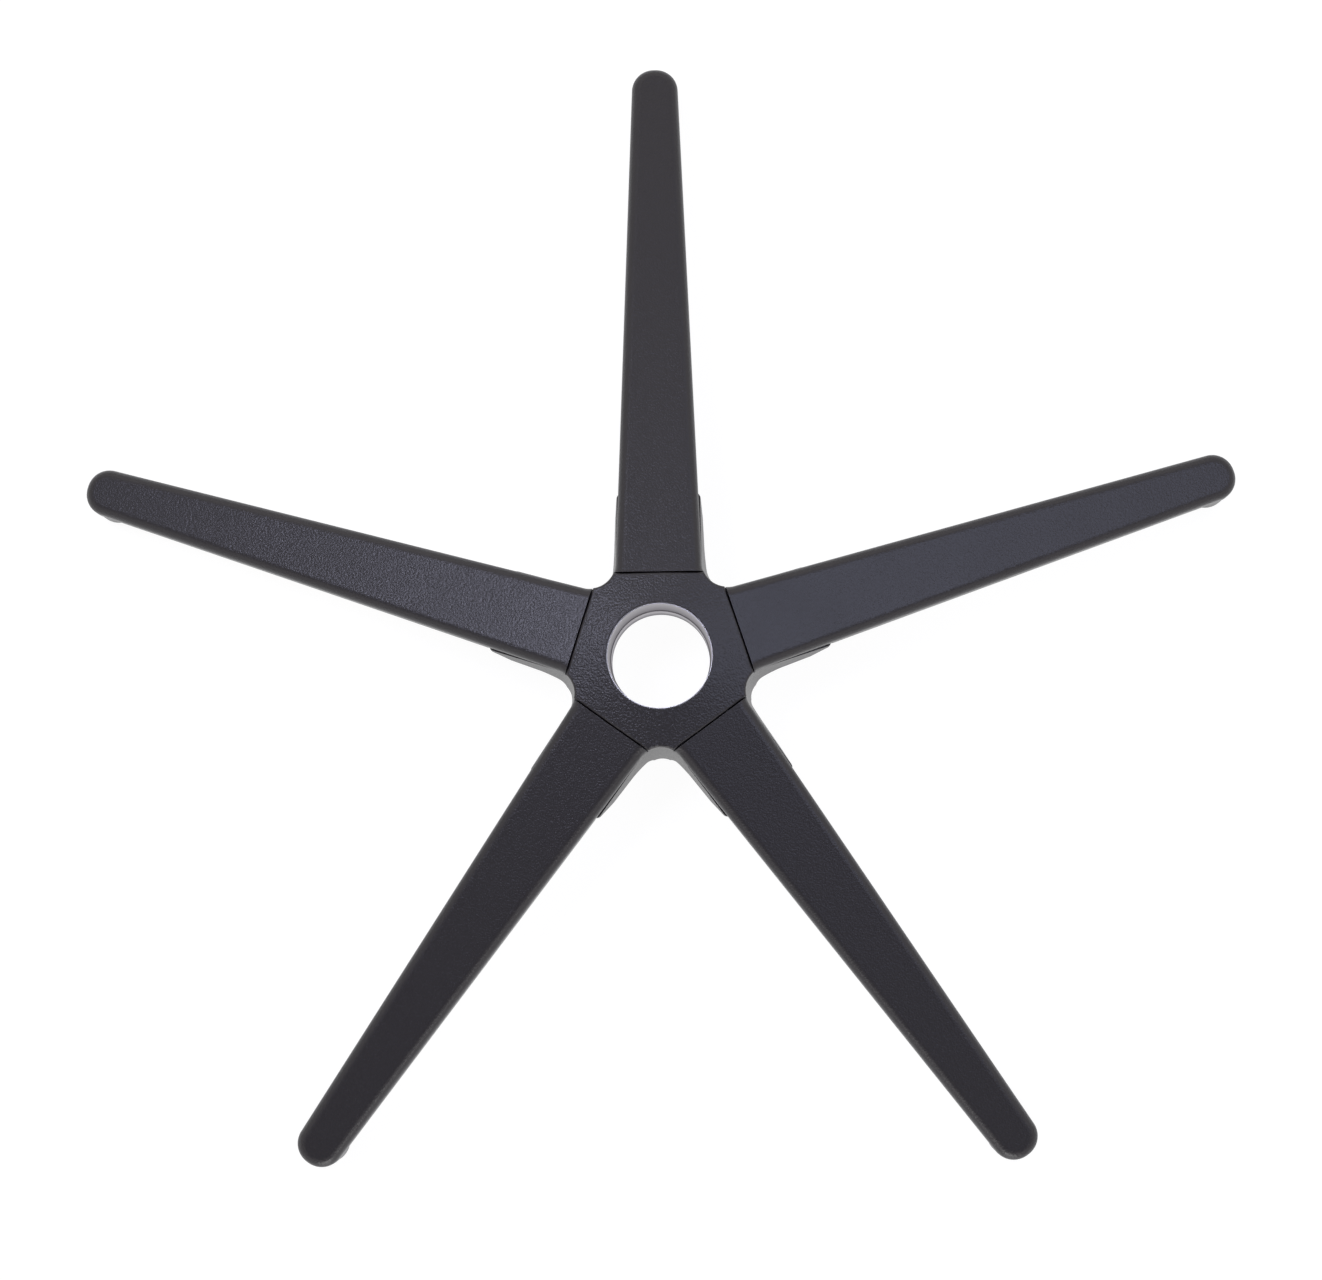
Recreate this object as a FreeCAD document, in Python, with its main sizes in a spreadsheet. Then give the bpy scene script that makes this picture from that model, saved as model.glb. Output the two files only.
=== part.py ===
"""Five-star office chair base: a saddle hub with a steel taper sleeve and five bolted legs.

The hub's conical top carries on the slope of the legs.
Frame: millimetres, +Z up. The origin lies on the bore axis, level with the legs' upper root edges.
Leg 1 points along +Y and the others follow anticlockwise, 72 degrees apart.
"""
import FreeCAD
import Part
import Sketcher
import math
import os
import re

LEGS = 5
STEP_DEG = 360.0 / LEGS

# Driving sizes in millimetres, each with its own name.
SIZES = {
    # plan of the star
    "tip_radius": 300.0,
    "parting_radius": 40.7,
    "parting_gap": 0.5,
    "root_half": 21.05,
    "tip_half": 11.1,
    "corner_radius": 12.1,
    "tip_corner": 11.0,
    # leg, seen from the side
    "tip_drop": 48.0,
    "tip_height": 12.5,
    "root_depth": 22.0,
    "edge_round": 4.8,
    "foot_round": 1.2,
    # leg underside
    "leg_wall": 3.5,
    "leg_roof": 3.5,
    "core_start": 86.0,
    "core_end": 274.0,
    "rib_width": 2.8,
    "rib_first": 104.0,
    "rib_pitch": 28.0,
    "rib_count": 6.0,
    # caster boss under the leg's tip
    "boss_radius": 11.3,
    "boss_inset": 11.8,
    "boss_bevel": 0.8,
    "stand_depth": 79.0,
    "socket_radius": 5.6,
    "socket_depth": 26.0,
    # hub and its saddle arms
    "hub_depth": 46.0,
    "hub_roof": 5.0,
    "head_edge": 1.2,
    "wall_lean": 3.5,
    "trough_half": 17.2,
    "side_gap": 0.3,
    "cheek_root": 6.0,
    "cheek_end": 19.0,
    "seam": 0.4,
    "arm_reach": 80.4,
    "arm_gap": 0.4,
    "arm_corner": 1.5,
    "floor_reach": 64.0,
    "floor_thick": 5.0,
    "cell_start": 37.5,
    "bow_start": 41.0,
    "bow_end": 54.0,
    "bow_radius": 20.0,
    "bow_depth": 29.0,
    "nose_start": 70.0,
    "nose_depth": 21.0,
    "pocket_inner": 35.0,
    "pocket_outer": 41.5,
    "pocket_inner_half": 7.5,
    "pocket_outer_half": 4.0,
    # bore and taper sleeve
    "lip_radius": 25.6,
    "lip_round": 0.5,
    "sleeve_rise": 1.0,
    "mouth_radius": 25.2,
    "mouth_length": 8.0,
    "seat_radius": 24.45,
    "seat_end": 26.0,
    "land_radius": 24.1,
    "sleeve_radius": 28.0,
    "sleeve_end": 45.5,
    "collar_radius": 30.0,
    "collar_start": 26.0,
    "collar_height": 5.0,
    "fit_gap": 0.3,
    # fasteners
    "bolt_ring": 50.0,
    "bolt_spread": 10.0,
    "bolt_radius": 3.0,
    "bolt_length": 16.0,
    "bolt_head_radius": 5.0,
    "bolt_head_height": 6.0,
    "key_across": 5.0,
    "key_depth": 3.0,
    "washer_radius": 6.0,
    "washer_thick": 1.6,
    "screw_boss": 7.0,
    "screw_boss_height": 1.0,
    "insert_radius": 4.2,
    "insert_length": 11.0,
    "insert_sunk": 0.5,
    # how far a cut runs past the solid
    "run_past": 2.0,
}

doc = FreeCAD.newDocument("five_star_base")
sheet = doc.addObject("Spreadsheet::Sheet", "sizes")
for row, (size_name, size_value) in enumerate(SIZES.items(), start=1):
    sheet.set(f"A{row}", size_name)
    sheet.set(f"B{row}", str(size_value))
    sheet.setAlias(f"B{row}", size_name)
doc.recompute()


# Formulas shared by the pieces that mate.
HALF_ANGLE = f"(180 deg / {LEGS})"
HEAD = "(parting_radius - parting_gap / 2)"
ROOT = "(parting_radius + parting_gap / 2)"
FLARE = "((root_half - tip_half) / (tip_radius - parting_radius))"
SLANT = f"sqrt(1 + {FLARE} * {FLARE})"
AXIS_HALF = f"(root_half + parting_radius * {FLARE})"
CORNER = (f"(({AXIS_HALF} + corner_radius * {SLANT})"
          f" / (sin({HALF_ANGLE}) + {FLARE} * cos({HALF_ANGLE})))")
CORNER_ALONG = f"({CORNER} * cos({HALF_ANGLE}))"
CORNER_ASIDE = f"({CORNER} * sin({HALF_ANGLE}))"
PAST_TIP = "(tip_radius + run_past)"
PAST_ARM = "(arm_reach + wall_lean + run_past)"
LEAN = "(wall_lean / hub_depth)"
CROWN = f"({ROOT} * tip_drop / (tip_radius - {ROOT}) + run_past)"
BOSS_AT = "(tip_radius - boss_inset)"
BOSS_RISE = "(stand_depth - tip_drop - edge_round - run_past)"
SCREW_SEAT = "(root_depth + floor_thick + screw_boss_height)"
INSERT_TOP = "(root_depth - insert_sunk - insert_length)"


def half_at(radius):
    """Half width of a leg at a radius."""
    return f"({AXIS_HALF} - {radius} * {FLARE})"


def top_at(radius):
    """Height of the sloping top at a radius."""
    return f"(-({radius} - {ROOT}) * tip_drop / (tip_radius - {ROOT}))"


def cheek_at(radius):
    """Height of the saddle cheek's upper edge at a radius."""
    return f"(-cheek_root - ({radius} - {ROOT}) * (cheek_end - cheek_root) / (arm_reach - {ROOT}))"


SKIRT = cheek_at(CORNER_ALONG)


def reach_at(height):
    """Radius where a leg's recess ends at a height, clear of the arm's leaning end."""
    return f"(arm_reach + ({SKIRT} - {height}) * {LEAN} + arm_gap)"


REACH = reach_at("(-root_depth)")


def foot_at(radius):
    """Height of the leg's sloping foot at a radius."""
    return (f"(-root_depth - ({radius} - {REACH})"
            f" * (tip_drop + tip_height - root_depth) / (tip_radius - {REACH}))")


def bound(text):
    """The formula with each size read from the sheet."""
    return re.sub(r"[a-z_]+", lambda m: f"sizes.{m.group()}" if m.group() in SIZES else m.group(), text)


def number(text):
    """The formula's present value."""
    value = sheet.evalExpression(bound(text))
    return float(getattr(value, "Value", value))


def plane(body, role):
    """One of a body's own origin planes or axes."""
    return next(item for item in body.Origin.OriginFeatures if item.Role == role)


def new_body(label):
    """An empty body that may hold several solids."""
    body = doc.addObject("PartDesign::Body", label)
    body.Label = label
    body.AllowCompound = True
    return body


def new_sketch(body, name, role, offset="0"):
    """A sketch on an origin plane, moved along the plane's normal."""
    sketch = body.newObject("Sketcher::SketchObject", name)
    sketch.AttachmentSupport = [(plane(body, role), "")]
    sketch.MapMode = "FlatFace"
    if offset != "0":
        sketch.setExpression("AttachmentOffset.Base.z", bound(offset))
    return sketch


def pin(sketch, geometry, point, across, up):
    """Holds a sketch point at two formulas measured from the sketch's origin."""
    for kind, text in (("DistanceX", across), ("DistanceY", up)):
        row = sketch.addConstraint(Sketcher.Constraint(kind, -1, 1, geometry, point, number(text)))
        sketch.setExpression(f"Constraints[{row}]", bound(text))


def outline(sketch, corners):
    """A closed outline through corners (across, up), or (across, up, radius, turn) where an arc leaves.

    Turn is 1 for an arc that runs anticlockwise and -1 for one that runs clockwise.
    """
    points = [FreeCAD.Vector(number(corner[0]), number(corner[1]), 0) for corner in corners]
    ends = []
    for index, corner in enumerate(corners):
        tail = points[index]
        head = points[(index + 1) % len(points)]
        if len(corner) == 2:
            item = sketch.addGeometry(Part.LineSegment(tail, head))
            ends.append((item, 1, 2))
            continue
        radius = number(corner[2])
        chord = head - tail
        left = FreeCAD.Vector(-chord.y, chord.x, 0).normalize()
        rise = (radius ** 2 - (chord.Length / 2) ** 2) ** 0.5
        centre = tail + chord * 0.5 + left * rise * corner[3]
        middle = tail + chord * 0.5 - centre
        middle = centre + middle.normalize() * radius
        item = sketch.addGeometry(Part.Arc(tail, middle, head))
        ends.append((item, 1, 2) if corner[3] > 0 else (item, 2, 1))
        row = sketch.addConstraint(Sketcher.Constraint("Radius", item, radius))
        sketch.setExpression(f"Constraints[{row}]", bound(corner[2]))
    for index, corner in enumerate(corners):
        item, tail, head = ends[index]
        after = ends[(index + 1) % len(ends)]
        sketch.addConstraint(Sketcher.Constraint("Coincident", item, head, after[0], after[1]))
        pin(sketch, item, tail, corner[0], corner[1])


def ring(left, right, low, high):
    """The four corners of a rectangle."""
    return [(left, low), (right, low), (right, high), (left, high)]


def circle(sketch, across, up, radius):
    """A circle at a point given as formulas."""
    centre = FreeCAD.Vector(number(across), number(up), 0)
    shape = Part.Circle(centre, FreeCAD.Vector(0, 0, 1), number(radius))
    item = sketch.addGeometry(shape)
    pin(sketch, item, 3, across, up)
    row = sketch.addConstraint(Sketcher.Constraint("Radius", item, number(radius)))
    sketch.setExpression(f"Constraints[{row}]", bound(radius))


def extrude(body, kind, name, sketch, length, up=True, lean=None):
    """A Pad or a Pocket of a given length, upwards or downwards, with upright or leaning walls."""
    feature = body.newObject(f"PartDesign::{kind}", name)
    feature.Profile = sketch
    feature.setExpression("Length", bound(length))
    if lean:
        feature.setExpression("TaperAngle", bound(lean))
    feature.Reversed = (not up) if kind == "Pad" else up
    doc.recompute()
    return feature


def side_cut(body, name, corners):
    """Cuts a side profile (radius, height) right across the body."""
    sketch = new_sketch(body, f"{name}_profile", "YZ_Plane")
    outline(sketch, corners)
    feature = body.newObject("PartDesign::Pocket", name)
    feature.Profile = sketch
    feature.setExpression("Length", bound("2 * (root_half + wall_lean + run_past)"))
    feature.Midplane = True
    doc.recompute()
    return feature


def revolve(body, kind, name, profile):
    """A full turn of a half profile (radius, height) about the bore axis."""
    sketch = new_sketch(body, f"{name}_profile", "XZ_Plane")
    outline(sketch, profile)
    feature = body.newObject(f"PartDesign::{kind}", name)
    feature.Profile = sketch
    feature.ReferenceAxis = (plane(body, "Z_Axis"), [""])
    feature.Angle = 360.0
    doc.recompute()
    return feature


def around(body, name, originals):
    """Repeats features for every leg about the bore axis."""
    pattern = body.newObject("PartDesign::PolarPattern", name)
    pattern.Originals = originals
    pattern.Axis = (plane(body, "Z_Axis"), [""])
    pattern.Angle = 360.0
    pattern.Occurrences = LEGS
    body.Tip = pattern
    doc.recompute()
    return pattern


def soften(body, kind, name, size, wanted):
    """Rounds or bevels the edges of the body's present shape that pass a test."""
    base = body.Tip
    edges = [f"Edge{index}" for index, edge in enumerate(base.Shape.Edges, start=1) if wanted(edge)]
    feature = body.newObject(f"PartDesign::{kind}", name)
    feature.Base = (base, edges)
    feature.setExpression("Radius" if kind == "Fillet" else "Size", bound(size))
    doc.recompute()
    return feature


def near(value, text, slack=0.02):
    """True where a measured value meets a formula."""
    return abs(value - number(text)) < slack


# Leg core: the space under the leg, slotted where the ribs stand.
core = new_body("leg_core")
core_plan = new_sketch(core, "core_plan", "XY_Plane")
narrow = "(trough_half - side_gap - leg_wall)"
core_near = "(floor_reach - leg_wall)"
wide = f"({half_at('core_start')} - leg_wall)"
slim = f"({half_at('core_end')} - leg_wall)"
outline(core_plan, [
    (f"-{narrow}", core_near), (narrow, core_near), (narrow, "core_start"), (wide, "core_start"),
    (slim, "core_end"), (f"-{slim}", "core_end"), (f"-{wide}", "core_start"), (f"-{narrow}", "core_start")])
extrude(core, "Pad", "core_block", core_plan, "stand_depth", up=False)
side_cut(core, "core_roof", [
    (ROOT, f"({top_at(ROOT)} - leg_roof)"), ("tip_radius", f"({top_at('tip_radius')} - leg_roof)"),
    ("tip_radius", "run_past"), (ROOT, "run_past")])
spine_plan = new_sketch(core, "spine_plan", "XY_Plane")
outline(spine_plan, ring("-rib_width / 2", "rib_width / 2", ROOT, "tip_radius"))
extrude(core, "Pocket", "spine_slot", spine_plan, "stand_depth", up=False)
rib_plan = new_sketch(core, "rib_plan", "XY_Plane")
outline(rib_plan, ring("-root_half", "root_half", "rib_first", "rib_first + rib_width"))
rib_slot = extrude(core, "Pocket", "rib_slot", rib_plan, "stand_depth", up=False)
ribs = core.newObject("PartDesign::LinearPattern", "rib_slots")
ribs.Originals = [rib_slot]
ribs.Direction = (plane(core, "Y_Axis"), [""])
ribs.setExpression("Length", bound("rib_pitch * (rib_count - 1)"))
ribs.setExpression("Occurrences", bound("rib_count"))
core.Tip = ribs
doc.recompute()

# Leg: a tapering bar with a flared root, a rounded tip and a caster boss below it.
leg = new_body("leg_1")
root_edge = (f"({CORNER_ASIDE} - sqrt(corner_radius * corner_radius"
             f" - ({CORNER_ALONG} - {ROOT}) * ({CORNER_ALONG} - {ROOT})))")
flare_end = (f"({CORNER_ASIDE} - corner_radius / {SLANT})",
             f"({CORNER_ALONG} - corner_radius * {FLARE} / {SLANT})")
tip_centre = "(tip_radius - tip_corner)"
tip_aside = f"({half_at(tip_centre)} - tip_corner * {SLANT})"
tip_start = (f"({tip_aside} + tip_corner / {SLANT})",
             f"({tip_centre} + tip_corner * {FLARE} / {SLANT})")
leg_plan = new_sketch(leg, "leg_plan", "XY_Plane")
outline(leg_plan, [
    (f"-{root_edge}", ROOT), (root_edge, ROOT, "corner_radius", -1), flare_end,
    tip_start + ("tip_corner", 1), (tip_aside, "tip_radius"),
    (f"-{tip_aside}", "tip_radius", "tip_corner", 1), (f"-{tip_start[0]}", tip_start[1]),
    (f"-{flare_end[0]}", flare_end[1], "corner_radius", -1)])
extrude(leg, "Pad", "leg_block", leg_plan, "stand_depth", up=False)
side_cut(leg, "leg_top", [
    (ROOT, "0"), (PAST_TIP, top_at(PAST_TIP)), (PAST_TIP, "run_past"), (ROOT, "run_past")])
side_cut(leg, "leg_foot", [
    (HEAD, "-root_depth"), (REACH, "-root_depth"), ("tip_radius", "-(tip_drop + tip_height)"),
    (PAST_TIP, "-(tip_drop + tip_height)"), (PAST_TIP, "-(stand_depth + run_past)"),
    (HEAD, "-(stand_depth + run_past)")])
for side, sign in (("left", "-"), ("right", "")):
    recess_profile = new_sketch(leg, f"recess_profile_{side}", "YZ_Plane", f"{sign}(trough_half - side_gap)")
    outline(recess_profile, [
        (HEAD, f"({cheek_at(HEAD)} + seam)"), (HEAD, "-stand_depth"),
        (reach_at("(-stand_depth)"), "-stand_depth"),
        (reach_at("(seam - cheek_end)"), "(seam - cheek_end)")])
    extrude(leg, "Pocket", f"cheek_recess_{side}", recess_profile, "root_half", up=sign == "")


def on_leg_foot(edge):
    """True for the outer lower edges beyond the saddle."""
    ends = [vertex.Point for vertex in edge.Vertexes]
    on_foot = all(near(point.z, foot_at(str(point.y))) for point in ends)
    return on_foot and not near(edge.BoundBox.YMax, REACH)


def on_leg_top(edge):
    """True for the edges of the sloping top, apart from the straight edge at the hub."""
    ends = [vertex.Point for vertex in edge.Vertexes]
    on_top = all(near(point.z, top_at(str(point.y))) for point in ends)
    return on_top and not near(edge.BoundBox.YMax, ROOT)


soften(leg, "Fillet", "top_round", "edge_round", on_leg_top)
soften(leg, "Fillet", "foot_edges", "foot_round", on_leg_foot)
boss_plan = new_sketch(leg, "boss_plan", "XY_Plane", "-stand_depth")
circle(boss_plan, "0", BOSS_AT, "boss_radius")
extrude(leg, "Pad", "caster_boss", boss_plan, BOSS_RISE)
soften(leg, "Chamfer", "boss_rim", "boss_bevel",
       lambda e: near(e.BoundBox.ZMax, "-stand_depth") and near(e.BoundBox.XMax, "boss_radius"))
socket_plan = new_sketch(leg, "socket_plan", "XY_Plane", "-stand_depth")
circle(socket_plan, "0", BOSS_AT, "socket_radius")
extrude(leg, "Pocket", "caster_socket", socket_plan, "socket_depth")
insert_plan = new_sketch(leg, "insert_plan", "XY_Plane", f"-{INSERT_TOP}")
for sign in ("-", ""):
    circle(insert_plan, f"{sign}bolt_spread", "bolt_ring", "insert_radius + fit_gap")
extrude(leg, "Pocket", "insert_holes", insert_plan, "stand_depth", up=False)
hollow = leg.newObject("PartDesign::Boolean", "hollow")
hollow.setObjects([core])
hollow.Type = "Cut"
doc.recompute()

legs = [leg]
for index in range(1, LEGS):
    twin = new_body(f"leg_{index + 1}")
    copy = doc.addObject("PartDesign::FeatureBase", f"leg_form_{index + 1}")
    copy.BaseFeature = leg
    twin.Group = [copy]
    twin.Tip = copy
    twin.Placement = FreeCAD.Placement(FreeCAD.Vector(), FreeCAD.Rotation(STEP_DEG * index, 0, 0))
    legs.append(twin)
doc.recompute()


# Hub: a crowned pentagonal head above a skirt and saddle arms whose walls lean outwards.
def star_points(radius):
    """Corners of a regular pentagon, each between two legs."""
    turns = [f"({HALF_ANGLE} * {2 * index + 1} + 90 deg)" for index in range(LEGS)]
    return [(f"({radius} * cos({turn}))", f"({radius} * sin({turn}))") for turn in turns]


hub = new_body("hub")
head_plan = new_sketch(hub, "head_plan", "XY_Plane", CROWN)
outline(head_plan, star_points(f"{HEAD} / cos({HALF_ANGLE})"))
extrude(hub, "Pad", "head", head_plan, f"hub_depth + {CROWN}", up=False)
revolve(hub, "Groove", "head_top", [
    ("0", top_at("0")), (PAST_ARM, top_at(PAST_ARM)), (PAST_ARM, CROWN), ("0", CROWN)])
head_corners = new_sketch(hub, "head_corners", "XY_Plane", CROWN)
for across, along in star_points(CORNER):
    circle(head_corners, across, along, "corner_radius")
extrude(hub, "Pocket", "head_corner_cuts", head_corners, f"hub_depth + {CROWN} + run_past", up=False)
skirt_plan = new_sketch(hub, "skirt_plan", "XY_Plane", SKIRT)
outline(skirt_plan, star_points(CORNER))
extrude(hub, "Pad", "skirt", skirt_plan, f"hub_depth + {SKIRT}", up=False)
skirt_corners = new_sketch(hub, "skirt_corners", "XY_Plane", SKIRT)
for across, along in star_points(CORNER):
    circle(skirt_corners, across, along, "corner_radius")
extrude(hub, "Pocket", "skirt_corner_cuts", skirt_corners, f"hub_depth + {SKIRT} + run_past", up=False,
        lean=f"-atan({LEAN})")

# One saddle arm: cheeks, floor, ribbed underside and screw bosses.
arm_plan = new_sketch(hub, "arm_plan", "XY_Plane", SKIRT)
arm_root = half_at(ROOT)
arm_end = half_at("arm_reach")
outline(arm_plan, [
    (f"-{arm_root}", ROOT), (arm_root, ROOT), (arm_end, "arm_reach - arm_corner", "arm_corner", 1),
    (f"({arm_end} - arm_corner)", "arm_reach"), (f"-({arm_end} - arm_corner)", "arm_reach", "arm_corner", 1),
    (f"-{arm_end}", "arm_reach - arm_corner")])
arm = [extrude(hub, "Pad", "arm", arm_plan, f"hub_depth + {SKIRT}", up=False, lean=f"atan({LEAN})")]
arm.append(side_cut(hub, "cheek_slope", [
    (CORNER_ALONG, SKIRT), (PAST_ARM, cheek_at(PAST_ARM)), (PAST_ARM, "run_past"),
    (CORNER_ALONG, "run_past")]))
trough_plan = new_sketch(hub, "trough_plan", "XY_Plane")
outline(trough_plan, ring("-trough_half", "trough_half", HEAD, PAST_ARM))
arm.append(extrude(hub, "Pocket", "trough", trough_plan, "root_depth", up=False))
mouth_plan = new_sketch(hub, "arm_mouth_plan", "XY_Plane")
outline(mouth_plan, ring("-trough_half", "trough_half", "floor_reach", PAST_ARM))
arm.append(extrude(hub, "Pocket", "arm_mouth", mouth_plan, "hub_depth + run_past", up=False))
cell_plan = new_sketch(hub, "cell_plan", "XY_Plane", "-hub_depth")
outline(cell_plan, ring("-trough_half", "-rib_width / 2", "cell_start", PAST_ARM))
outline(cell_plan, ring("rib_width / 2", "trough_half", "cell_start", PAST_ARM))
arm.append(extrude(hub, "Pocket", "arm_cells", cell_plan, "hub_depth - root_depth - floor_thick"))
boss_seats = new_sketch(hub, "boss_seats", "XY_Plane", f"-{SCREW_SEAT}")
for sign in ("-", ""):
    circle(boss_seats, f"{sign}bolt_spread", "bolt_ring", "screw_boss")
arm.append(extrude(hub, "Pad", "screw_bosses", boss_seats, "screw_boss_height + floor_thick / 2"))
hole_plan = new_sketch(hub, "hole_plan", "XY_Plane")
for sign in ("-", ""):
    circle(hole_plan, f"{sign}bolt_spread", "bolt_ring", "bolt_radius + fit_gap")
arm.append(extrude(hub, "Pocket", "bolt_holes", hole_plan, "hub_depth", up=False))
arm.append(side_cut(hub, "bow", [
    ("bow_start", "-hub_depth", "bow_radius", -1), ("bow_end", "-bow_depth"), ("nose_start", "-bow_depth"),
    ("arm_reach", "-nose_depth"), (PAST_ARM, "-nose_depth"), (PAST_ARM, "-(hub_depth + run_past)"),
    ("bow_start", "-(hub_depth + run_past)")]))
around(hub, "arms", arm)

# Corner pockets in the underside, between the bore wall and the skirt.
pocket_plan = new_sketch(hub, "pocket_plan", "XY_Plane", "-hub_depth")


def on_bisector(along, aside):
    """A point measured along and aside from the line between legs 1 and 5."""
    return (f"({along} * sin({HALF_ANGLE}) + {aside} * cos({HALF_ANGLE}))",
            f"({along} * cos({HALF_ANGLE}) - {aside} * sin({HALF_ANGLE}))")


outline(pocket_plan, [on_bisector("pocket_inner", "-pocket_inner_half"),
                      on_bisector("pocket_inner", "pocket_inner_half"),
                      on_bisector("pocket_outer", "pocket_outer_half"),
                      on_bisector("pocket_outer", "-pocket_outer_half")])
pocket = extrude(hub, "Pocket", "corner_pocket", pocket_plan, "hub_depth - hub_roof")
around(hub, "corner_pockets", [pocket])
seat = "(sleeve_radius + fit_gap)"
groove = "(collar_radius + fit_gap)"
collar_end = "-(collar_start + collar_height)"
revolve(hub, "Groove", "bore", [
    ("0", CROWN), ("lip_radius", CROWN), ("lip_radius", "sleeve_rise"), (seat, "sleeve_rise"),
    (seat, "-collar_start"), (groove, "-collar_start"), (groove, collar_end), (seat, collar_end),
    (seat, "-(hub_depth + run_past)"), ("0", "-(hub_depth + run_past)")])


def on_head_corner(edge):
    """True for the conical top's edges round the head's corners."""
    middle = edge.valueAt((edge.FirstParameter + edge.LastParameter) / 2)
    reach = math.hypot(middle.x, middle.y)
    on_top = near(middle.z, top_at(str(reach))) and reach > number(HEAD)
    return on_top and not near(edge.BoundBox.ZMax, top_at(HEAD))


soften(hub, "Fillet", "head_round", "head_edge", on_head_corner)
soften(hub, "Fillet", "lip_edge", "lip_round", lambda e: near(e.BoundBox.ZMin, top_at("lip_radius")))

# Taper sleeve: straight mouth, taper seat and lower land, held by a collar in the hub.
sleeve = new_body("taper_sleeve")
revolve(sleeve, "Revolution", "sleeve", [
    ("mouth_radius", "sleeve_rise"), ("sleeve_radius", "sleeve_rise"), ("sleeve_radius", "-collar_start"),
    ("collar_radius", "-collar_start"), ("collar_radius", collar_end), ("sleeve_radius", collar_end),
    ("sleeve_radius", "-sleeve_end"), ("land_radius", "-sleeve_end"),
    ("land_radius", "-(seat_end + seat_radius - land_radius)"), ("seat_radius", "-seat_end"),
    ("mouth_radius", "(sleeve_rise - mouth_length)")])


# Fasteners: one pair per leg, repeated around the hub.
def pair(body, name, offset, radius, hole=None):
    """A sketch of two discs or rings at a leg's bolt positions."""
    sketch = new_sketch(body, name, "XY_Plane", offset)
    for sign in ("-", ""):
        circle(sketch, f"{sign}bolt_spread", "bolt_ring", radius)
        if hole:
            circle(sketch, f"{sign}bolt_spread", "bolt_ring", hole)
    return sketch


washers = new_body("bolt_washers")
washer_plan = pair(washers, "washer_plan", f"-{SCREW_SEAT}", "washer_radius", "bolt_radius + fit_gap")
around(washers, "washers", [extrude(washers, "Pad", "washer", washer_plan, "washer_thick", up=False)])

inserts = new_body("threaded_inserts")
insert_rings = pair(inserts, "insert_rings", f"-{INSERT_TOP}", "insert_radius", "bolt_radius + fit_gap")
around(inserts, "inserts", [extrude(inserts, "Pad", "insert", insert_rings, "insert_length", up=False)])

bolts = new_body("leg_bolts")
under_head = f"-({SCREW_SEAT} + washer_thick)"
shank = extrude(bolts, "Pad", "shank", pair(bolts, "shank_plan", under_head, "bolt_radius"), "bolt_length")
cap = extrude(bolts, "Pad", "cap", pair(bolts, "cap_plan", under_head, "bolt_head_radius"),
              "bolt_head_height", up=False)
key_plan = new_sketch(bolts, "key_plan", "XY_Plane", f"{under_head} - bolt_head_height")
key_radius = "(key_across / 2 / cos(30 deg))"
for sign in ("-", ""):
    outline(key_plan, [(f"({sign}bolt_spread + {key_radius} * cos({turn} deg))",
                        f"(bolt_ring + {key_radius} * sin({turn} deg))") for turn in range(0, 360, 60)])
key = extrude(bolts, "Pocket", "key", key_plan, "key_depth")
around(bolts, "bolts", [shank, cap, key])

pieces = [hub, sleeve] + legs + [bolts, washers, inserts]
doc.recompute()
for item in doc.Objects:
    if "Invalid" in item.State or "Error" in item.State:
        raise RuntimeError(f"{item.Label} did not build: {item.State}")
for piece in pieces:
    if piece.Shape.isNull() or not piece.Shape.isValid():
        raise RuntimeError(f"{piece.Label} has no valid shape")

os.makedirs("parts", exist_ok=True)
for piece in pieces:
    piece.Shape.exportStep(f"parts/{piece.Label}.step")
    print(piece.Label, len(piece.Shape.Solids), round(piece.Shape.Volume))
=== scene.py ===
# %% [markdown]
# # An office chair's five star base
# A five star base stands between the casters and the gas lift of an office chair. Here it is a
# moulded hub with a steel-lined bore and five moulded legs, each held in a saddle of the hub by two
# bolts from below. The CAD solids already have the right shapes, so this lesson loads them as a
# fixed frame and gives them finishes, real fasteners, a floor, light and a camera.

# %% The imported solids
import math

import bpy
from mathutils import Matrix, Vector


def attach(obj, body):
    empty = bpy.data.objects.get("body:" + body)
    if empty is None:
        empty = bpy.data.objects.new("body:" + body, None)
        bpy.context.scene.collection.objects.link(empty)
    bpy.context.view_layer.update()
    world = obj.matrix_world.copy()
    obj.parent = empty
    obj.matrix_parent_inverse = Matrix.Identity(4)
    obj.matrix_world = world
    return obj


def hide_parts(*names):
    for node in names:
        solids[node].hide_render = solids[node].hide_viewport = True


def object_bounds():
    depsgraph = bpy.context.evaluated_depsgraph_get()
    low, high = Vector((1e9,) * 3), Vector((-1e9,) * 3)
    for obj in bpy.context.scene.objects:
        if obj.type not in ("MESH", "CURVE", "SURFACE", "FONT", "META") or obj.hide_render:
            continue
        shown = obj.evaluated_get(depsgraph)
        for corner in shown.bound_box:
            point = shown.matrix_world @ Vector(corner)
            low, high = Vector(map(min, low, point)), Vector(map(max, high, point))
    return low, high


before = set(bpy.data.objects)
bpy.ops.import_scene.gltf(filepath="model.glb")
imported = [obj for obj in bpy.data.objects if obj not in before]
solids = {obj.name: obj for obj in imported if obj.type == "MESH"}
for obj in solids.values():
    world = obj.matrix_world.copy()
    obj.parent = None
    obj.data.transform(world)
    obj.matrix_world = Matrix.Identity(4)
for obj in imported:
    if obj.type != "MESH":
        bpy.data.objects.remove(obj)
cad_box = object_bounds()
print("solids:", ", ".join(sorted(solids)))
print("star in mm:", [round(1000 * (high - low), 1) for low, high in zip(*cad_box)])

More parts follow.
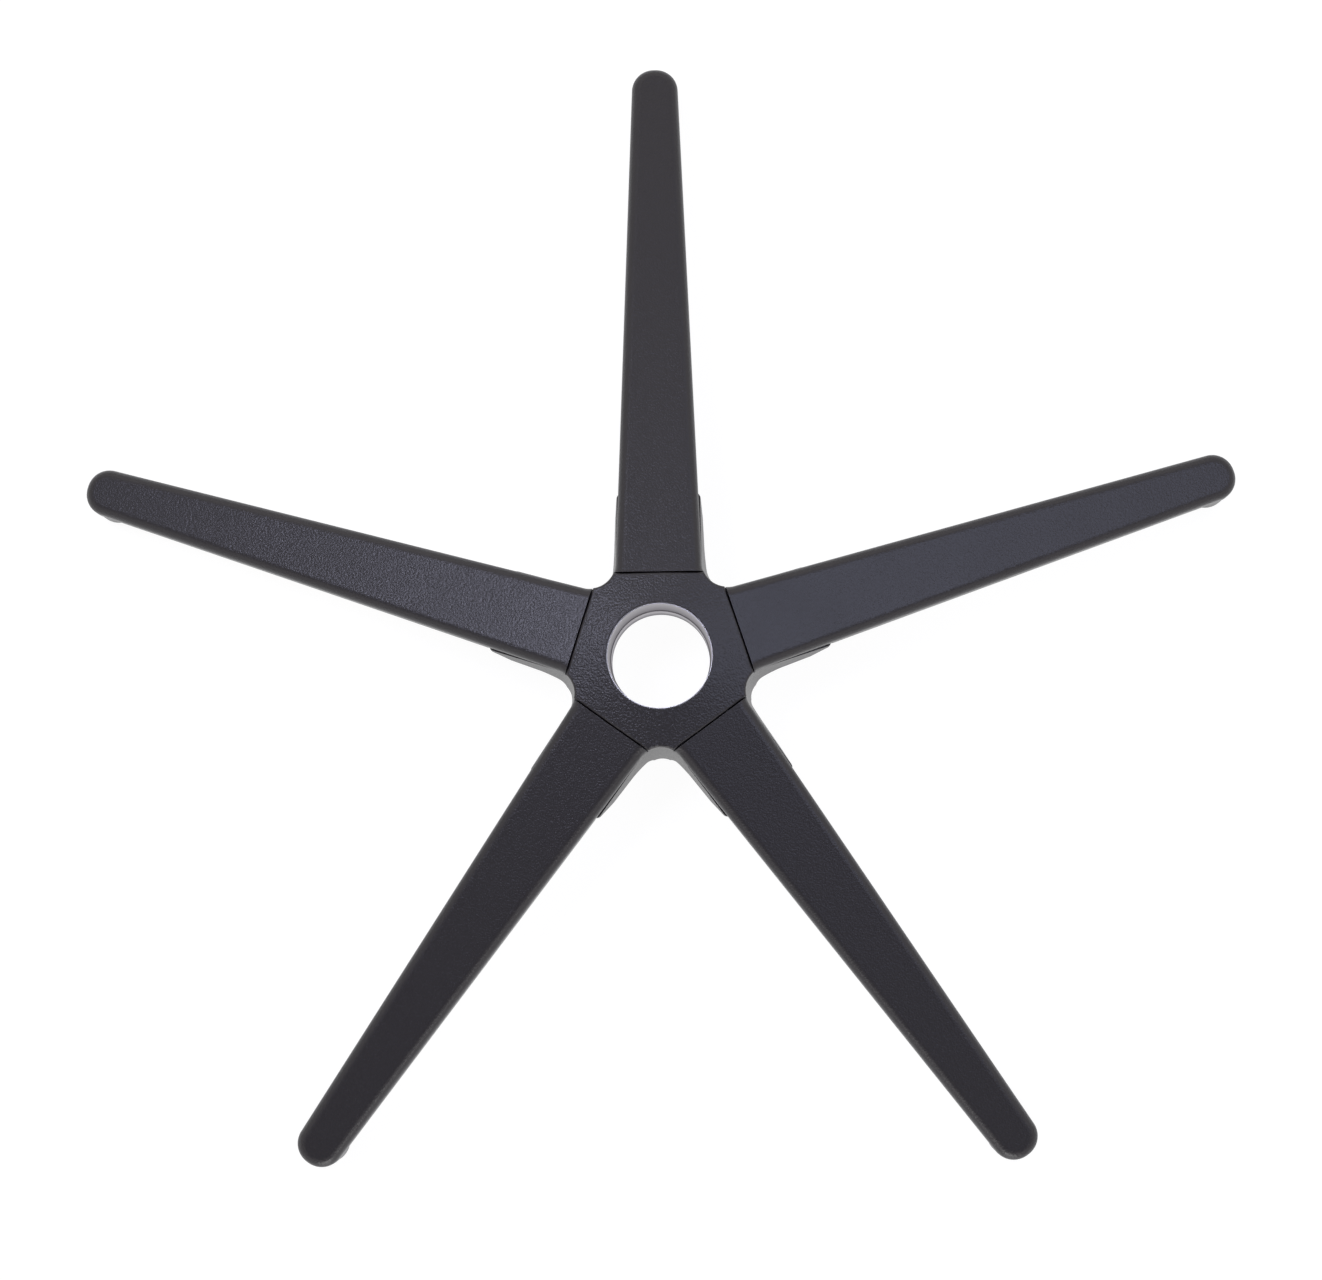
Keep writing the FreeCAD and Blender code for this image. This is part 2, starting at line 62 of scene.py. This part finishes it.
# %% [markdown]
# ## Two small helpers
# Makers pick colours as sRGB hex codes, but Blender's shaders count light in linear steps, so one
# function turns the first into the second. A second function adds a node with its settings and
# links, which keeps each finish below short enough to read in one go. A Mix node holds sockets of
# the same names for numbers, vectors and colours side by side, so its colour sockets are picked by
# their places, and those places get names here.

# %% Colours and nodes
MIX_BY, MIX_FROM, MIX_TO, MIXED = 0, 6, 7, 2


def from_hex(code):
    """The linear colour of an sRGB hex code such as #2b2a2e."""
    shares = [int(code[at:at + 2], 16) / 255 for at in (1, 3, 5)]
    linear = [s / 12.92 if s <= 0.04045 else ((s + 0.055) / 1.055) ** 2.4 for s in shares]
    return (*linear, 1.0)


def add_node(tree, kind, inputs=None, **settings):
    """Adds a node: settings are its own choices, and inputs are constants, outputs of other nodes,
    or other nodes, whose first output is then meant."""
    node = tree.nodes.new(kind)
    for name, value in settings.items():
        setattr(node, name, value)
    for name, value in (inputs or {}).items():
        if isinstance(value, bpy.types.Node):
            value = value.outputs[0]
        if isinstance(value, bpy.types.NodeSocket):
            tree.links.new(value, node.inputs[name])
        else:
            node.inputs[name].default_value = value
    return node


print("middle grey #808080 in linear light:", round(from_hex("#808080")[0], 4))

# %% [markdown]
# ## Black glass-filled nylon
# The legs and the hub are injection moulded from nylon with chopped glass. The steel mould is
# etched, so the skin is a low pebble grain about a millimetre across with a much finer stipple on
# it, and it shines like satin. The colour drifts a little where the melt cooled at different
# speeds. Handled edges are polished smoother, and their colour is painted paler, partly for wear
# and partly as a painted sheen. A photo texture could show all this for one view only. Noise in
# the object's own millimetres shows it from every side and never stretches.

# %% The nylon's colour
MELT_DRIFT_MM = 38
nylon = bpy.data.materials.new("black glass filled nylon")
nylon.use_nodes = True
nylon_tree = nylon.node_tree
nylon_skin = nylon_tree.nodes["Principled BSDF"]
place = add_node(nylon_tree, "ShaderNodeTexCoord")
nylon_mm = add_node(nylon_tree, "ShaderNodeMapping",
                    {"Vector": place.outputs["Object"], "Scale": (1000, 1000, 1000)})
drift = add_node(nylon_tree, "ShaderNodeTexNoise",
                 {"Vector": nylon_mm, "Scale": 1 / MELT_DRIFT_MM, "Detail": 3.0})
melt = add_node(nylon_tree, "ShaderNodeMix",
                {MIX_BY: drift.outputs["Fac"],
                 MIX_FROM: from_hex("#1d1b1f"), MIX_TO: from_hex("#242226")}, data_type="RGBA")
print("finish:", nylon.name)

# %% The nylon's edges, paler for wear and painted sheen
EDGE_MM = 0.15
EDGE_STARTS, EDGE_FULL = 0.99, 0.86  # Cosines of the turn between rounded skin and flat face.
rounded = add_node(nylon_tree, "ShaderNodeBevel", {"Radius": EDGE_MM / 1000}, samples=6)
facing = add_node(nylon_tree, "ShaderNodeNewGeometry")
turn = add_node(nylon_tree, "ShaderNodeVectorMath",
                {0: rounded.outputs["Normal"], 1: facing.outputs["Normal"]},
                operation="DOT_PRODUCT")
edge = add_node(nylon_tree, "ShaderNodeMapRange",
                {"Value": turn.outputs["Value"], "From Min": EDGE_STARTS, "From Max": EDGE_FULL})
# Painted sheen in part: the edge colour is made paler for wear and also for the sheen that edges
# catch.
wear_and_sheen = add_node(nylon_tree, "ShaderNodeMix",
                   {MIX_BY: edge.outputs["Result"],
                    MIX_FROM: melt.outputs[MIXED], MIX_TO: from_hex("#302e33")}, data_type="RGBA")
nylon_tree.links.new(wear_and_sheen.outputs[MIXED], nylon_skin.inputs["Base Color"])
print("edges rounded over", EDGE_MM, "mm")

# %% The nylon's mould grain
PEBBLE_MM, PEBBLE_DEPTH_MM = 1.0, 0.1
# The etched stipple is nearer 0.1 mm across. It is drawn coarser so that it shows.
STIPPLE_MM, STIPPLE_DEPTH_MM = 0.5, 0.07
pebbles = add_node(nylon_tree, "ShaderNodeTexVoronoi",
                   {"Vector": nylon_mm, "Scale": 1 / PEBBLE_MM, "Smoothness": 0.7},
                   feature="SMOOTH_F1")
stipple = add_node(nylon_tree, "ShaderNodeTexNoise",
                   {"Vector": nylon_mm, "Scale": 1 / STIPPLE_MM, "Detail": 2.0})
pebbled = add_node(nylon_tree, "ShaderNodeBump",
                   {"Height": pebbles.outputs["Distance"], "Strength": 1.0,
                    "Distance": PEBBLE_DEPTH_MM / 1000, "Normal": rounded.outputs["Normal"]},
                   invert=True, name="pebbled")
stippled = add_node(nylon_tree, "ShaderNodeBump",
                    {"Height": stipple.outputs["Fac"], "Strength": 1.0,
                     "Distance": STIPPLE_DEPTH_MM / 1000, "Normal": pebbled.outputs["Normal"]})
nylon_tree.links.new(stippled.outputs["Normal"], nylon_skin.inputs["Normal"])
print("pebbles of", PEBBLE_MM, "mm with a stipple of", STIPPLE_MM, "mm")

# %% The nylon's shine
SATIN_DULL, SATIN_BRIGHT = 0.38, 0.31  # Roughness, as the melt drifts from one to the other.
EDGE_POLISH = -0.08  # What handling takes off the roughness.
NYLON_IOR = 1.53
satin = add_node(nylon_tree, "ShaderNodeMapRange",
                 {"Value": drift.outputs["Fac"], "To Min": SATIN_DULL, "To Max": SATIN_BRIGHT},
                 name="satin")
polish = add_node(nylon_tree, "ShaderNodeMath",
                  {0: edge.outputs["Result"], 1: EDGE_POLISH, 2: satin.outputs["Result"]},
                  operation="MULTIPLY_ADD")
nylon_tree.links.new(polish.outputs["Value"], nylon_skin.inputs["Roughness"])
nylon_skin.inputs["IOR"].default_value = NYLON_IOR
print("satin of roughness", SATIN_BRIGHT, "to", SATIN_DULL, "and smoother on the handled edges")

# %% [markdown]
# ## The hub's deeper grain
# The hub comes from a mould of its own, and its grain catches the light more than the legs' does.
# Its material could be built from nothing, but a copy of the legs' nylon with deeper pebbles and a
# little less shine keeps the colour of the melt the same in all six pieces.

# %% The hub's nylon
HUB_PEBBLE_DEPTH_MM = 0.19
HUB_SATIN_BRIGHT = 0.32
hub_nylon = nylon.copy()
hub_nylon.name = "black glass filled nylon with deep grain"
hub_nodes = hub_nylon.node_tree.nodes
hub_nodes["pebbled"].inputs["Distance"].default_value = HUB_PEBBLE_DEPTH_MM / 1000
hub_nodes["satin"].inputs["To Max"].default_value = HUB_SATIN_BRIGHT
print("finish:", hub_nylon.name)

# %% [markdown]
# ## Turned bright steel
# The bore is lined with a steel sleeve whose taper grips the gas lift. A lathe cut it, so fine
# rings run round its wall, and they stretch every reflection up and down. Rings are a pattern in
# height alone: noise that reads nothing but the height gives lines of uneven width, as a real tool
# leaves them. The mouth and the land below the taper keep the bright steel colour. The lower taper
# and the land's foot are painted darker. This is painted shade for the darker bands that
# reflection and shade lay inside the bore.

# %% The sleeve's steel
RING_MM, RING_DEPTH_MM = 0.6, 0.02  # The tool's feed is nearer 0.1 mm, drawn coarser to show.
steel = bpy.data.materials.new("turned bright steel")
steel.use_nodes = True
steel_tree = steel.node_tree
steel_skin = steel_tree.nodes["Principled BSDF"]
place = add_node(steel_tree, "ShaderNodeTexCoord")
height = add_node(steel_tree, "ShaderNodeSeparateXYZ", {"Vector": place.outputs["Object"]})
height = height.outputs["Z"]
ring_count = add_node(steel_tree, "ShaderNodeMath", {0: height, 1: 1000 / RING_MM},
                      operation="MULTIPLY")
rings = add_node(steel_tree, "ShaderNodeTexNoise",
                 {"W": ring_count, "Scale": 1.0, "Detail": 3.0}, noise_dimensions="1D")
cut = add_node(steel_tree, "ShaderNodeBump",
               {"Height": rings.outputs["Fac"], "Strength": 1.0, "Distance": RING_DEPTH_MM / 1000})
steel_tree.links.new(cut.outputs["Normal"], steel_skin.inputs["Normal"])
bright = add_node(steel_tree, "ShaderNodeMix",
                  {MIX_BY: rings.outputs["Fac"],
                   MIX_FROM: from_hex("#bcbabd"), MIX_TO: from_hex("#d6d4d7")}, data_type="RGBA")
print("finish:", steel.name, "with rings of", RING_MM, "mm")

# %% The sleeve's painted shade bands
# Heights in metres where a band of painted shade starts and where it is fully dark.
TAPER_UNSHADED, TAPER_SHADED = -0.004, -0.0255
LAND_UNSHADED, LAND_SHADED = -0.0264, -0.0259
FOOT_UNSHADED, FOOT_SHADED = -0.033, -0.041
taper = add_node(steel_tree, "ShaderNodeMapRange",
                 {"Value": height, "From Min": TAPER_UNSHADED, "From Max": TAPER_SHADED})
land = add_node(steel_tree, "ShaderNodeMapRange",
                {"Value": height, "From Min": LAND_UNSHADED, "From Max": LAND_SHADED})
foot = add_node(steel_tree, "ShaderNodeMapRange",
                {"Value": height, "From Min": FOOT_UNSHADED, "From Max": FOOT_SHADED})
# Painted shade: the lower taper and the foot are painted darker to stand in for the darker bands of
# reflection and shade inside the bore.
shaded = add_node(steel_tree, "ShaderNodeMath", {0: taper, 1: land}, operation="MULTIPLY")
shaded = add_node(steel_tree, "ShaderNodeMath", {0: shaded, 1: foot}, operation="MAXIMUM")
painted_shade_bands = add_node(steel_tree, "ShaderNodeMix",
                {MIX_BY: shaded, MIX_FROM: bright.outputs[MIXED], MIX_TO: from_hex("#807e82")},
                data_type="RGBA")
steel_tree.links.new(painted_shade_bands.outputs[MIXED], steel_skin.inputs["Base Color"])
print("bright mouth and land, dull lower taper and foot")

# %% The sleeve's shine
RING_DULL, RING_BRIGHT = 0.42, 0.32  # Roughness, as the rings run from one to the other.
gloss = add_node(steel_tree, "ShaderNodeMapRange",
                 {"Value": rings.outputs["Fac"], "To Min": RING_DULL, "To Max": RING_BRIGHT})
steel_tree.links.new(gloss.outputs["Result"], steel_skin.inputs["Roughness"])
steel_skin.inputs["Metallic"].default_value = 1.0
steel_skin.inputs["Specular Tint"].default_value = from_hex("#c9c8cb")
print("rings of roughness", RING_BRIGHT, "to", RING_DULL)

# %% [markdown]
# ## Zinc-plated steel and turned brass
# The bolts and washers are steel with a thin bluish zinc plating, tumbled in a drum, so the plating
# is a little cloudy. The inserts in the legs are turned brass, warm yellow and a little brighter.
# Both are metals, so the shader's metallic value is one, and only colour and roughness need a
# pattern. One function makes both, because they differ in their values alone.

# %% The fasteners' metals
def cloudy_metal(name, colours, cloud_mm, roughness):
    """A metal whose colour and gloss drift between two values in soft clouds."""
    metal = bpy.data.materials.new(name)
    metal.use_nodes = True
    tree = metal.node_tree
    skin = tree.nodes["Principled BSDF"]
    place = add_node(tree, "ShaderNodeTexCoord")
    cloud = add_node(tree, "ShaderNodeTexNoise", {"Vector": place.outputs["Object"],
                                                  "Scale": 1000 / cloud_mm, "Detail": 4.0})
    tint = add_node(tree, "ShaderNodeMix",
                    {MIX_BY: cloud.outputs["Fac"],
                     MIX_FROM: from_hex(colours[0]), MIX_TO: from_hex(colours[1])},
                    data_type="RGBA")
    tree.links.new(tint.outputs[MIXED], skin.inputs["Base Color"])
    gloss = add_node(tree, "ShaderNodeMapRange", {"Value": cloud.outputs["Fac"],
                                                  "To Min": roughness[0], "To Max": roughness[1]})
    tree.links.new(gloss.outputs["Result"], skin.inputs["Roughness"])
    skin.inputs["Metallic"].default_value = 1.0
    return metal


zinc = cloudy_metal("zinc plated steel", colours=("#9ea3ab", "#b9bab4"),
                    cloud_mm=1.6, roughness=(0.42, 0.28))
brass = cloudy_metal("turned brass", colours=("#b58a3e", "#d3ac62"),
                     cloud_mm=2.0, roughness=(0.38, 0.24))
print("finishes:", zinc.name, "and", brass.name)

# %% [markdown]
# ## Each solid's finish
# The hub, the legs, the sleeve and the inserts are already shaped in CAD. Their meshes stay as they
# are, so each finish goes on through the material slot that the solid brings with it. The bolts and
# washers are made anew below.

# %% Dressing the solids
finish_of = {"hub": hub_nylon, "taper_sleeve": steel, "threaded_inserts": brass}
finish_of |= {name: nylon for name in solids if name.startswith("leg_") and name != "leg_bolts"}
for name, finish in finish_of.items():
    solids[name].material_slots[0].material = finish
print("dressed:", ", ".join(sorted(finish_of)))

# %% [markdown]
# ## Ten bolts and ten washers
# Two socket-head bolts with washers hold each leg from below. Each is a turned part, so it is drawn
# as half a section and spun about its axis. Modelling ten by hand would repeat the same work, so a
# Geometry Nodes tree spins the section once, knurls the head's rim, squares its socket to a hexagon
# and sets ten copies round the bore. Its sizes are inputs in metres.

# %% The turning tree
turning = bpy.data.node_groups.new("turned fastener round the bore", "GeometryNodeTree")
tree_inputs = [("Section", "NodeSocketGeometry", None),
               ("Bolt circle radius", "NodeSocketFloat", 0.05),
               ("Bolt spacing", "NodeSocketFloat", 0.02),
               ("Seat height", "NodeSocketFloat", 0.0),
               ("Legs", "NodeSocketInt", 5),
               ("Steps round", "NodeSocketInt", 48),
               ("Knurl depth", "NodeSocketFloat", 0.00025),
               ("Metal", "NodeSocketMaterial", None)]
for title, kind, usual in tree_inputs:
    socket = turning.interface.new_socket(title, in_out="INPUT", socket_type=kind)
    if usual is not None:
        socket.default_value = usual
turning.interface.new_socket("Fasteners", in_out="OUTPUT", socket_type="NodeSocketGeometry")
given = add_node(turning, "NodeGroupInput").outputs
print("inputs:", [socket.name for socket in given if socket.name])

# %% A row for each point of the section
# A grid has one row of points for each point of the section. Its columns go once round the axis,
# and the last of them falls on the first.
size = add_node(turning, "GeometryNodeAttributeDomainSize", {"Geometry": given["Section"]})
columns = add_node(turning, "FunctionNodeIntegerMath", {0: given["Steps round"], 1: 1},
                   operation="ADD")
sheet = add_node(turning, "GeometryNodeMeshGrid",
                 {"Vertices X": size.outputs["Point Count"], "Vertices Y": columns})
index = add_node(turning, "GeometryNodeInputIndex")
row = add_node(turning, "FunctionNodeIntegerMath", {0: index, 1: columns},
               operation="DIVIDE_FLOOR")
column = add_node(turning, "FunctionNodeIntegerMath", {0: index, 1: columns}, operation="MODULO")
angle = add_node(turning, "ShaderNodeMath", {0: column, 1: math.tau}, operation="MULTIPLY")
angle = add_node(turning, "ShaderNodeMath", {0: angle, 1: given["Steps round"]},
                 operation="DIVIDE")
where = add_node(turning, "GeometryNodeInputPosition")
drawn = add_node(turning, "GeometryNodeSampleIndex",
                 {"Geometry": given["Section"], "Value": where, "Index": row},
                 data_type="FLOAT_VECTOR")
drawn = add_node(turning, "ShaderNodeSeparateXYZ", {"Vector": drawn}).outputs
print("rows follow the section's points, Z up the axis, X out from it")

# %% Knurl and hexagon
# The section's Y marks what a row is: 0 mm round, 1 mm knurled, -1 mm a hexagon.
MARK = 0.0005  # Half a millimetre tells them apart.
KNURLS = 24
SIXTH = math.tau / 6
wave = add_node(turning, "ShaderNodeMath", {0: angle, 1: float(KNURLS)}, operation="MULTIPLY")
wave = add_node(turning, "ShaderNodeMath", {0: wave}, operation="COSINE")
groove = add_node(turning, "ShaderNodeMath", {0: wave, 1: 1.0}, operation="SUBTRACT")
groove = add_node(turning, "ShaderNodeMath", {0: groove, 1: given["Knurl depth"]},
                  operation="MULTIPLY")
is_knurled = add_node(turning, "ShaderNodeMath", {0: drawn["Y"], 1: MARK},
                      operation="GREATER_THAN")
within = add_node(turning, "ShaderNodeMath", {0: angle, 1: SIXTH}, operation="MODULO")
within = add_node(turning, "ShaderNodeMath", {0: within, 1: SIXTH / 2}, operation="SUBTRACT")
flat = add_node(turning, "ShaderNodeMath", {0: within}, operation="COSINE")
growth = add_node(turning, "ShaderNodeMath", {0: 1.0, 1: flat}, operation="DIVIDE")
growth = add_node(turning, "ShaderNodeMath", {0: growth, 1: 1.0}, operation="SUBTRACT")
is_hexagon = add_node(turning, "ShaderNodeMath", {0: drawn["Y"], 1: -MARK}, operation="LESS_THAN")
growth = add_node(turning, "ShaderNodeMath", {0: is_hexagon, 1: growth}, operation="MULTIPLY")
out = add_node(turning, "ShaderNodeMath", {0: drawn["X"], 1: growth, 2: drawn["X"]},
               operation="MULTIPLY_ADD")
out = add_node(turning, "ShaderNodeMath", {0: is_knurled, 1: groove, 2: out},
               operation="MULTIPLY_ADD")
print("knurls:", KNURLS)

# %% The spun skin
# The ends of the spin are merged, and the grid's faces are turned to point outwards.
SEAM = 1e-6
spun = add_node(turning, "ShaderNodeCombineXYZ", {"X": out, "Z": drawn["Z"]})
spun = add_node(turning, "ShaderNodeVectorRotate", {"Vector": spun, "Angle": angle},
                rotation_type="Z_AXIS")
turned = add_node(turning, "GeometryNodeSetPosition", {"Geometry": sheet, "Position": spun})
turned = add_node(turning, "GeometryNodeMergeByDistance", {"Geometry": turned, "Distance": SEAM})
turned = add_node(turning, "GeometryNodeFlipFaces", {"Mesh": turned})
print("nodes so far:", len(turning.nodes))

# %% Copies round the bore
# Each leg has two seats, half the bolt spacing to either side of its middle line.
number = add_node(turning, "FunctionNodeIntegerMath", {0: given["Legs"], 1: 2},
                  operation="MULTIPLY")
leg = add_node(turning, "FunctionNodeIntegerMath", {0: index, 1: 2}, operation="DIVIDE_FLOOR")
side = add_node(turning, "FunctionNodeIntegerMath", {0: index, 1: 2}, operation="MODULO")
side = add_node(turning, "ShaderNodeMath", {0: side, 1: 0.5}, operation="SUBTRACT")
aside = add_node(turning, "ShaderNodeMath", {0: side, 1: given["Bolt spacing"]},
                 operation="MULTIPLY")
bearing = add_node(turning, "ShaderNodeMath", {0: leg, 1: math.tau}, operation="MULTIPLY")
bearing = add_node(turning, "ShaderNodeMath", {0: bearing, 1: given["Legs"]}, operation="DIVIDE")
bearing = add_node(turning, "ShaderNodeMath", {0: bearing, 1: math.tau / 4}, operation="ADD")
seat = add_node(turning, "ShaderNodeCombineXYZ", {"X": given["Bolt circle radius"], "Y": aside,
                                                  "Z": given["Seat height"]})
seat = add_node(turning, "ShaderNodeVectorRotate", {"Vector": seat, "Angle": bearing},
                rotation_type="Z_AXIS")
seats = add_node(turning, "GeometryNodePoints", {"Count": number, "Position": seat})
facing_out = add_node(turning, "ShaderNodeCombineXYZ", {"Z": bearing})
copies = add_node(turning, "GeometryNodeInstanceOnPoints",
                  {"Points": seats, "Instance": turned, "Rotation": facing_out})
copies = add_node(turning, "GeometryNodeRealizeInstances", {"Geometry": copies})
copies = add_node(turning, "GeometryNodeSetMaterial",
                  {"Geometry": copies, "Material": given["Metal"]})
add_node(turning, "NodeGroupOutput", {"Fasteners": copies})
print("nodes in the tree:", len(turning.nodes))

# %% Half sections of a bolt and a washer
# In millimetres: the radius, the kind of row, and the height above the seat of the bolt's head.
bolt_section = [(0, 0, -2.6), (0.6, -1, -2.95), (2.42, -1, -3.0), (2.5, -1, -3.1),
                (2.5, -1, -5.75), (2.68, -1, -6.0), (4.35, 0, -6.0), (4.72, 0, -5.86),
                (5.0, 1, -5.45), (5.0, 1, -0.7), (4.85, 0, -0.35), (4.7, 0, 0),
                (3.0, 0, 0), (3.0, 0, 15.3), (2.3, 0, 16.0), (0, 0, 16.0)]
washer_section = [(3.2, 0, 0.2), (3.3, 0, 0.06), (3.45, 0, 0), (5.6, 0, 0),
                  (5.85, 0, 0.1), (6.0, 0, 0.35), (6.0, 0, 1.35), (5.9, 0, 1.52),
                  (5.7, 0, 1.6), (3.3, 0, 1.6), (3.2, 0, 1.5), (3.2, 0, 0.2)]
print("head", 2 * max(bolt_section)[0], "mm and washer", 2 * max(washer_section)[0], "mm across")

# %% Turned fasteners as plain meshes
SEAT_MM = -29.6
SHARP_FROM = math.radians(32)


def turn_fasteners(name, section_mm, seat_mm, node):
    """Ten turned copies of a half section, as one plain mesh that stands for a CAD node."""
    section = bpy.data.meshes.new(name + " section")
    section.from_pydata([[value / 1000 for value in point] for point in section_mm],
                        [(at, at + 1) for at in range(len(section_mm) - 1)], [])
    blank = bpy.data.objects.new(name + " blank", section)
    bpy.context.scene.collection.objects.link(blank)
    lathe = blank.modifiers.new("lathe", "NODES")
    lathe.node_group = turning
    sockets = {item.name: item.identifier for item in turning.interface.items_tree
               if item.in_out == "INPUT"}
    lathe[sockets["Seat height"]] = seat_mm / 1000
    lathe[sockets["Metal"]] = zinc
    ready = blank.evaluated_get(bpy.context.evaluated_depsgraph_get())
    mesh = bpy.data.meshes.new_from_object(ready)
    bpy.data.objects.remove(blank)
    mesh.name = name
    mesh.shade_smooth()
    mesh.set_sharp_from_angle(angle=SHARP_FROM)
    piece = bpy.data.objects.new(name, mesh)
    bpy.context.scene.collection.objects.link(piece)
    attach(piece, "root")
    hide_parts(node)
    print(name, "faces:", len(mesh.polygons))


turn_fasteners("socket_head_bolts", bolt_section, SEAT_MM, "leg_bolts")
turn_fasteners("plain_washers", washer_section, SEAT_MM, "bolt_washers")

# %% [markdown]
# ## The floor
# The star lies on a sheet of opal acrylic lit from below. To the eye it is an even pale white, and
# its glow fills the walls that face it. The sheet lets most of the light from above through, so it
# is grey in itself and hardly a shadow shows. A white floor without light of its own would need
# much stronger lamps, and their reflections would show in the legs.

# %% The opal floor
FLOOR_HALF = 20.0
ground = cad_box[0][2]
sheet_corners = [(-FLOOR_HALF, -FLOOR_HALF, ground), (FLOOR_HALF, -FLOOR_HALF, ground),
                 (FLOOR_HALF, FLOOR_HALF, ground), (-FLOOR_HALF, FLOOR_HALF, ground)]
floor_mesh = bpy.data.meshes.new("opal_floor")
floor_mesh.from_pydata(sheet_corners, [], [(0, 1, 2, 3)])
floor = bpy.data.objects.new("opal_floor", floor_mesh)
bpy.context.scene.collection.objects.link(floor)
opal = bpy.data.materials.new("lit opal acrylic")
opal.use_nodes = True
opal_skin = opal.node_tree.nodes["Principled BSDF"]
opal_skin.inputs["Base Color"].default_value = from_hex("#606060")
opal_skin.inputs["Roughness"].default_value = 0.6
opal_skin.inputs["Emission Color"].default_value = from_hex("#ffffff")
opal_skin.inputs["Emission Strength"].default_value = 0.92
floor_mesh.materials.append(opal)
print("floor at", round(1000 * ground, 1), "mm")

# %% [markdown]
# ## Soft boxes and a room
# The sloping legs act as dull mirrors that tilt five ways, so the place of each light decides which
# leg is bright. The key box is small, so its reflection lies on the root of the left leg and fades
# towards the tip. Two larger boxes fill the right and the back. The rounded edges mirror what
# stands lower: a soft box in front, and a room whose white walls outshine its dark ceiling and dim
# towards the floor. A picture of a studio could give such light too, but boxes can be moved and
# dimmed one by one.

# %% The soft boxes
BOX_AWAY = 2.2


def hang_soft_box(name, bearing, rise, size, power, tint):
    """A square soft box that faces the bore, at a bearing from +X and a rise from level in degrees,
    with its size in metres and its power in watts."""
    lamp = bpy.data.lights.new(name, "AREA")
    lamp.shape, lamp.size = "SQUARE", size
    lamp.energy, lamp.color = power, from_hex(tint)[:3]
    box = bpy.data.objects.new(name, lamp)
    bearing, rise = math.radians(bearing), math.radians(rise)
    reach = BOX_AWAY * math.cos(rise)
    box.location = (reach * math.cos(bearing), reach * math.sin(bearing), BOX_AWAY * math.sin(rise))
    box.rotation_euler = (0, math.pi / 2 - rise, bearing)
    box.visible_camera = False
    bpy.context.scene.collection.objects.link(box)
    print(name, "at", [round(value, 2) for value in box.location])


hang_soft_box("key soft box", bearing=147, rise=70.5, size=0.5, power=12.6, tint="#e2e4ff")
hang_soft_box("side soft box", bearing=20, rise=65, size=1.2, power=10.4, tint="#d9e0ff")
hang_soft_box("back soft box", bearing=96, rise=44, size=1.7, power=3.4, tint="#fff6ee")
hang_soft_box("front soft box", bearing=270, rise=14, size=1.2, power=14.0, tint="#ffffff")

# %% The room
# Heights are the Z of the direction looked in, from 0 at the horizon to 1 overhead.
WALL_TOP, CEILING = 0.5, 0.94
WALL_LIGHT, CEILING_LIGHT = 0.95, 0.09
SKIRTING, SKIRTING_TOP = 0.05, 0.35
SKIRTING_SHARE = 0.5
room = bpy.data.worlds.new("white walls and dark ceiling")
room.use_nodes = True
sky = room.node_tree.nodes["Background"]
way = add_node(room.node_tree, "ShaderNodeTexCoord")
way = add_node(room.node_tree, "ShaderNodeSeparateXYZ", {"Vector": way.outputs["Generated"]})
walls = add_node(room.node_tree, "ShaderNodeMapRange",
                 {"Value": way.outputs["Z"], "From Min": WALL_TOP, "From Max": CEILING,
                  "To Min": WALL_LIGHT, "To Max": CEILING_LIGHT}, interpolation_type="SMOOTHSTEP")
skirting = add_node(room.node_tree, "ShaderNodeMapRange",
                    {"Value": way.outputs["Z"], "From Min": SKIRTING, "From Max": SKIRTING_TOP,
                     "To Min": SKIRTING_SHARE, "To Max": 1.0})
glow = add_node(room.node_tree, "ShaderNodeMath", {0: walls, 1: skirting}, operation="MULTIPLY")
room.node_tree.links.new(glow.outputs["Value"], sky.inputs["Strength"])
sky.inputs["Color"].default_value = from_hex("#fffaf9")
bpy.context.scene.world = room
bpy.context.scene.view_settings.view_transform = "Standard"
print("world:", room.name)

# %% [markdown]
# ## The camera
# The photograph looks almost straight down through the bore from about 1.7 m. Its place, tilt and
# lens were solved from the outline of the star, so the edges of the render fall close to where the
# photograph has them. A camera set by eye would be less exact.

# %% The photograph's view
lens = bpy.data.cameras.new("photograph")
lens.sensor_width = 36.0
lens.lens = 96.698
eye = bpy.data.objects.new("photograph", lens)
eye.location = (0.030549, -0.143915, 1.70215)
eye.rotation_euler = [math.radians(degrees) for degrees in (5.0743, 1.0607, -0.6648)]
bpy.context.scene.collection.objects.link(eye)
bpy.context.scene.camera = eye
print("camera", round(eye.location.length, 3), "m from the bore")
